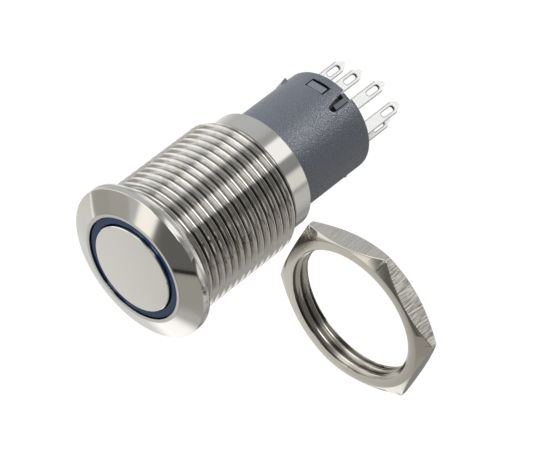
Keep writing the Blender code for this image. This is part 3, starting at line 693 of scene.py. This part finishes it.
def build_cap():
    profile = rounded(
        [
            (0.0, CAP_FRONT),
            (CAP_R - CAP_EDGE, CAP_FRONT),
            (CAP_R, CAP_FRONT + CAP_EDGE),
            (CAP_R, CAP_BACK),
            (PIN_R, CAP_BACK),
            (PIN_R, CAP_BACK + PIN_LENGTH),
            (0.0, CAP_BACK + PIN_LENGTH),
        ],
        [0.0, 0.025, 0.025, 0.05, 0.05, 0.1, 0.0], 4, closed=False)
    bm = bmesh.new()
    lathe(bm, profile, 192, closed=False)
    finish(bm, "push_cap", cap_metal, "button", ["button_cap"])


def wall_tool(name, near, far, angle):
    """A cutting tool between two outlines in (round the barrel, along it, out from the shell's outside)."""
    bm = bmesh.new()
    a = [bm.verts.new(point) for point in near]
    b = [bm.verts.new(point) for point in far]
    bm.faces.new(a)
    bm.faces.new(reversed(b))
    for i in range(len(a)):
        j = (i + 1) % len(a)
        bm.faces.new((a[i], b[i], b[j], a[j]))
    turn = math.radians(angle)
    out = Vector((math.sin(turn), 0.0, math.cos(turn)))
    side = Vector((math.cos(turn), 0.0, -math.sin(turn)))
    axes = Matrix((side, Vector((0.0, 1.0, 0.0)), out)).transposed().to_4x4()
    bmesh.ops.transform(bm, matrix=Matrix.Translation(out * SHELL_R) @ axes, verts=bm.verts)
    return object_from(bm, name)


def cutter(name, outline, angle):
    """A tool that goes right through the shell's wall."""
    near = [(a, y, -TOOL_DEPTH / 2.0) for a, y in outline]
    far = [(a, y, TOOL_DEPTH / 2.0) for a, y in outline]
    return wall_tool(name, near, far, angle)


def build_shell():
    profile = rounded(
        [
            (SHELL_FRONT_BORE_R, SHELL_START),
            (SHELL_R, SHELL_START),
            (SHELL_R, SHELL_END),
            (SHELL_BORE_R, SHELL_END),
            (SHELL_BORE_R, SHELL_STEP),
            (SHELL_FRONT_BORE_R, SHELL_STEP),
        ],
        [0.0, 0.1, SHELL_FILLET, 0.08, 0.0, 0.0], 8)
    bm = bmesh.new()
    lathe(bm, profile, 192)
    shell = finish(bm, "shell_moulding", shell_grey, "switch_body", ["rear_housing"])
    half = WINDOW_WIDTH / 2.0
    window = [(-half, WINDOW_START), (half, WINDOW_START), (half, WINDOW_END), (-half, WINDOW_END)]
    window = rounded(window, [0.12] * 4)
    tools = [cutter("tool_window_" + str(i), window, angle) for i, angle in enumerate(WINDOW_ANGLES)]
    # The key slot: round at its closed end, wider to one side at its mouth
    half = KEY_SLOT_WIDTH / 2.0
    closed_y = SHELL_END - KEY_SLOT_LENGTH + half
    open_y = SHELL_END + TOOL_OVERRUN
    slot = [(half * math.cos(math.radians(a)), closed_y + half * math.sin(math.radians(a)))
            for a in range(180, 361, 15)]
    slot += [(half, open_y), (half - KEY_SLOT_MOUTH, open_y)]
    tools.append(cutter("tool_key", slot, KEY_SLOT_ANGLE))
    # A wedge that slopes the surface down to the slot's straight wall
    section = (
        (half - 0.2, -SLOPE_DEPTH),
        (half, -SLOPE_DEPTH),
        (half + SLOPE_WIDTH, 0.1),
        (half - 0.2, 0.1),
    )
    near = [(a, closed_y, out) for a, out in section]
    far = [(a, open_y, out) for a, out in section]
    tools.append(wall_tool("tool_slope", near, far, KEY_SLOT_ANGLE))
    for tool in tools:
        cut = shell.modifiers.new("cut", "BOOLEAN")
        cut.operation = "DIFFERENCE"
        cut.solver = "EXACT"
        cut.object = tool
    edge = bevel(shell, 0.05, 3)
    edge.harden_normals = True
    depsgraph = bpy.context.evaluated_depsgraph_get()
    made = bpy.data.meshes.new_from_object(shell.evaluated_get(depsgraph), depsgraph=depsgraph)
    shell.modifiers.clear()
    shell.data = made
    for tool in tools:
        bpy.data.objects.remove(tool, do_unlink=True)
    return shell


def build_nut():
    """Hexagon with both chamfers, and a thread in the bore."""
    centre = (NUT_X, NUT_Z)
    back = NUT_FRONT + NUT_THICK
    slope = math.tan(math.radians(NUT_CHAMFER_SLOPE))
    ease = 0.035
    steps = 360

    def hexagon_r(angle):
        """Radius of the flats, with slightly rounded corners."""
        # The roll is from +X towards +Z, and the angle runs from +Z towards +X
        from_x = math.pi / 2.0 - angle
        across = (from_x - math.radians(NUT_ROLL)) % (math.pi / 3.0) - math.pi / 6.0
        flat = NUT_FLATS / 2.0 / math.cos(across)
        return min(flat, NUT_FLATS / math.sqrt(3.0) - 0.03)

    def radius_at(phase, y):
        """The thread between the chamfers at the bore's two mouths."""
        cut = NUT_BORE_R + NUT_GROOVE * groove(phase, 2.0)
        inside = max(0.0, min(y - NUT_FRONT, back - y))
        return max(min(cut, NUT_MOUTH_R + inside * 1.5), NUT_MOUTH_R - inside)

    bm = bmesh.new()
    columns = []
    for i in range(steps):
        angle = math.tau * i / steps
        outer = hexagon_r(angle)
        fall = max(0.0, outer - NUT_CHAMFER_R) * slope
        line = [
            (NUT_MOUTH_R, NUT_FRONT),
            (NUT_CHAMFER_R - 0.03, NUT_FRONT),
            (NUT_CHAMFER_R + 0.01, NUT_FRONT + 0.008),
            (outer - ease, NUT_FRONT + fall - ease * slope),
            (outer, NUT_FRONT + fall + ease),
            (outer, back - fall - ease),
            (outer - ease, back - fall + ease * slope),
            (NUT_CHAMFER_R + 0.01, back - 0.008),
            (NUT_CHAMFER_R - 0.03, back),
            (NUT_MOUTH_R, back),
        ]
        columns.append([bm.verts.new(around(r, angle, y, centre)) for r, y in line])
    skin(bm, columns)
    thread(bm, NUT_FRONT, back, radius_at, steps, 16, centre)
    finish(bm, "panel_nut", nickel, "switch_body", ["hex_nut"])


def build_spring(name, node, body, radius, wire, start, end, turns, centre=(0.0, 0.0)):
    """A coil whose turns lie closer together at both ends."""
    steps = 40
    sides = 10
    count = turns * steps
    first = start + wire
    rise = end - start - 2.0 * wire
    bm = bmesh.new()
    rings = []
    for i in range(count + 1):
        share = i / count
        eased = share - math.sin(math.tau * share) / (math.tau * 1.6)
        angle = math.tau * i / steps
        out = Vector((math.cos(angle), 0.0, math.sin(angle)))
        spot = Vector((centre[0], first + rise * eased, centre[1])) + out * radius
        ring = []
        for k in range(sides):
            turn = math.tau * k / sides
            along = Vector((0.0, wire * math.sin(turn), 0.0))
            ring.append(bm.verts.new(spot + out * (wire * math.cos(turn)) + along))
        rings.append(ring)
    for a, b in zip(rings, rings[1:]):
        for k in range(sides):
            j = (k + 1) % sides
            bm.faces.new((a[k], a[j], b[j], b[k]))
    bm.faces.new(rings[0])
    bm.faces.new(reversed(rings[-1]))
    return finish(bm, name, spring_steel, body, [node], 50.0)


build_barrel()
build_ring()
build_cap()
shell = build_shell()
build_nut()
main_coil = build_spring("return_coil", "return_spring", "switch_body",
                         radius=2.75, wire=0.22, start=1.56, end=6.4, turns=5)
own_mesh(main_coil)
press_coil = build_spring("contact_coil", "contact_spring", "button",
                          radius=0.82, wire=0.15, start=12.5, end=15.9, turns=4)
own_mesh(press_coil)
lever_coil = build_spring("lever_coil", "lever_spring", "switch_body",
                          radius=0.75, wire=0.15, start=16.4, end=21.9, turns=6, centre=(1.0392, -0.6))
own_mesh(lever_coil)


# Materials and fine edges on the solids that stay

def dress(node, material, width=0.0):
    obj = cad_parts[node]
    obj.data.materials.clear()
    obj.data.materials.append(material)
    if width > 0.0:
        bevel(obj, width, 2)


for name in ("terminal_led_minus", "terminal_common", "terminal_led_plus",
             "terminal_normally_open", "terminal_normally_closed"):
    spots = [vert.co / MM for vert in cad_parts[name].data.vertices]
    widths = [spot.dot(Vector(ACROSS_TAG)) for spot in spots if spot.y > TAG_START]
    middle = (min(widths) + max(widths)) / 2.0
    dress(name, tag_tin("tin_" + name, (0.92, 0.92, 0.90), 0.50, middle), 0.03)
for name in ("led_1", "led_2", "led_3", "led_4"):
    dress(name, lamp, 0.03)
dress("terminal_base", base_grey, 0.03)
dress("button_plunger", inner_white)
dress("plunger_guide", inner_white)
dress("plunger_seal", rubber)
dress("led_board", board)
dress("led_resistor", resistor, 0.04)
dress("led_lead_minus", insulation)
dress("led_lead_plus", insulation)
dress("retaining_clip", spring_steel, 0.03)
dress("contact_lever", copper, 0.02)
dress("moving_contact", silver, 0.02)
dress("fixed_contact_open", silver, 0.02)
dress("fixed_contact_closed", silver, 0.02)


# Studio: a pale floor, and soft surroundings that the metal mirrors

def build_floor():
    bm = bmesh.new()
    bmesh.ops.create_grid(bm, x_segments=1, y_segments=1, size=3.0)
    mesh = bpy.data.meshes.new("floor")
    bm.to_mesh(mesh)
    bm.free()
    floor = bpy.data.objects.new("floor", mesh)
    bpy.context.collection.objects.link(floor)
    floor.location = (0.0, 0.0, FLOOR_Z * MM)
    material = bpy.data.materials.new("floor_white")
    material.use_nodes = True
    t = Tree(material.node_tree)
    t.nodes.remove(t.nodes["Principled BSDF"])
    glow = t.add("ShaderNodeEmission")
    glow.inputs["Color"].default_value = colour(1.0, 1.0, 1.0)
    glow.inputs["Strength"].default_value = 1.03
    t.join(glow.outputs[0], t.nodes["Material Output"].inputs["Surface"])
    mesh.materials.append(material)
    floor.visible_glossy = False
    floor.visible_diffuse = False
    floor.visible_shadow = False


def direction(azimuth, elevation):
    """From -Y towards +X, and up."""
    a = math.radians(azimuth)
    e = math.radians(elevation)
    return (math.sin(a) * math.cos(e), -math.cos(a) * math.cos(e), math.sin(e))


def build_world():
    world = bpy.data.worlds.new("studio")
    bpy.context.scene.world = world
    world.use_nodes = True
    t = Tree(world.node_tree)
    look = t.add("ShaderNodeTexCoord").outputs["Generated"]
    x, y, z = t.split(look)

    def degrees(radians):
        return t.times(radians, 180.0 / math.pi)

    def over(level, share, radiance):
        """One radiance over a share of what was there."""
        return t.plus(t.times(level, t.minus(1.0, share)), t.times(share, radiance))

    def warmer(tone, share, warmth):
        return t.mix(share, tone, colour(1.0, 1.0 - 0.03 * warmth, 1.0 - 0.11 * warmth))

    # Down, up and sideways
    level = t.plus(t.ramp(z, -1.0, 0.0, 1.16, 0.69), t.ramp(z, 0.0, 1.0, 0.0, 0.11))
    level = t.times(level, t.ramp(x, -0.8, 0.9, 0.95, 0.45, True))
    tone = t.mix(t.ramp(z, -0.6, 0.6, 0.0, 1.0, True), colour(1.0, 0.985, 0.95), colour(0.96, 0.98, 1.0))
    # Long soft boxes and flags that run along the barrel
    strips = (
        # from and to, in degrees from up towards +X, soft edge, radiance
        (-88.0, -46.0, 5.0, 1.42),
        (-45.0, -36.0, 4.0, 0.85),
        (-33.0, -9.0, 4.0, 2.1),
        (0.0, 14.0, 5.0, 0.32),
        (22.0, 42.0, 4.0, 2.7),
        (48.0, 98.0, 4.0, 0.10),
        (106.0, 128.0, 6.0, 0.55),
        (152.0, 180.0, 4.0, 0.52),
        (-180.0, -152.0, 6.0, 0.62),
    )
    turn = degrees(t.math("ARCTAN2", x, z))
    zone = t.band(y, -0.65, 0.25, 0.2, 0.2)
    for low, high, soft, radiance in strips:
        level = over(level, t.times(t.band(turn, low, high, soft, soft), zone), radiance)
    patches = (
        # azimuth, elevation, inner and outer half angle, radiance, warmth
        (-65.0, -73.0, 11.0, 24.0, 1.48, 0.2),
        (-163.0, -56.0, 14.0, 28.0, 0.46, 0.2),
        (173.0, -58.0, 10.0, 20.0, 0.42, 0.2),
        (-153.0, -55.0, 6.0, 13.0, 0.24, 0.2),
        (-96.0, -47.0, 14.0, 24.0, 0.86, 0.4),
        (-114.0, -52.0, 3.0, 9.0, 0.76, 0.3),
        (127.0, -32.0, 10.0, 22.0, 0.70, 0.3),
        (152.0, 45.0, 12.0, 18.0, 1.38, 0.2),
        (-170.0, 57.0, 6.0, 12.0, 0.40, 0.5),
        (124.0, 1.0, 10.0, 18.0, 1.00, 0.5),
        (127.0, 27.0, 3.0, 8.0, 0.49, 0.2),
        (11.5, -4.5, 21.0, 36.0, 0.16, 0.6),
        (-57.0, -17.0, 9.0, 15.0, 0.48, 1.0),
        (-41.0, -12.0, 7.0, 10.0, 0.52, 1.0),
    )
    for azimuth, elevation, inner, outer, radiance, warmth in patches:
        near = t.dot(look, direction(azimuth, elevation))
        share = t.ramp(near, math.cos(math.radians(outer)), math.cos(math.radians(inner)), 0.0, 1.0, True)
        level = over(level, share, radiance)
        tone = warmer(tone, share, warmth)
    # Soft boxes with straight edges in front of the bezel
    boxes = (
        # azimuth from and to, its soft edge, elevation from and to, lower and upper soft edge,
        # radiance, warmth
        (-30.0, 60.0, 8.0, -26.4, -23.6, 0.4, 0.4, 0.0, 0.0),
        (-20.0, 40.0, 14.0, -49.0, -26.4, 7.0, 0.4, 0.45, 1.0),
        (-27.0, -17.0, 2.5, -16.0, 22.0, 5.0, 5.0, 1.42, 0.9),
        (-65.6, -65.0, 0.3, -45.0, -8.0, 2.0, 2.0, 2.0, 0.0),
    )
    heading = degrees(t.math("ARCTAN2", x, t.times(y, -1.0)))
    height = degrees(t.math("ARCSINE", z))
    for west, east, soft, bottom, top, low_soft, high_soft, radiance, warmth in boxes:
        across = t.band(heading, west, east, soft, soft)
        upright = t.band(height, bottom, top, low_soft, high_soft)
        share = t.times(across, upright)
        level = over(level, share, radiance)
        tone = warmer(tone, share, warmth)
    background = t.nodes["Background"]
    t.join(tone, background.inputs["Color"])
    t.join(level, background.inputs["Strength"])


def area_light(name, azimuth, elevation, size, power):
    data = bpy.data.lights.new(name, "AREA")
    data.shape = "DISK"
    data.size = size
    data.energy = power
    light = bpy.data.objects.new(name, data)
    bpy.context.collection.objects.link(light)
    away = Vector(direction(azimuth, elevation))
    light.location = Vector(LIGHT_AIM) + away * LIGHT_DISTANCE
    light.rotation_euler = away.to_track_quat("Z", "Y").to_euler()
    return light


build_floor()
build_world()
key = area_light("key", -80.0, 45.0, 0.45, 3.4)
key.visible_glossy = False
# The second lamp lights the shell only
sheen = area_light("sheen", 158.0, 38.0, 0.147, 1.15)
only_shell = bpy.data.collections.new("sheen_receivers")
only_shell.objects.link(shell)
sheen.light_linking.receiver_collection = only_shell


# Camera

camera_data = bpy.data.cameras.new("camera")
camera_data.lens = CAMERA_LENS
camera_data.sensor_width = 36.0
camera_data.clip_start = 0.01
camera_data.clip_end = 20.0
camera = bpy.data.objects.new("camera", camera_data)
bpy.context.collection.objects.link(camera)
camera.location = CAMERA_PLACE
camera.rotation_euler = Euler((math.radians(CAMERA_TILT), 0.0, math.radians(CAMERA_TURN)))
bpy.context.scene.camera = camera
bpy.context.scene.view_settings.view_transform = "Standard"
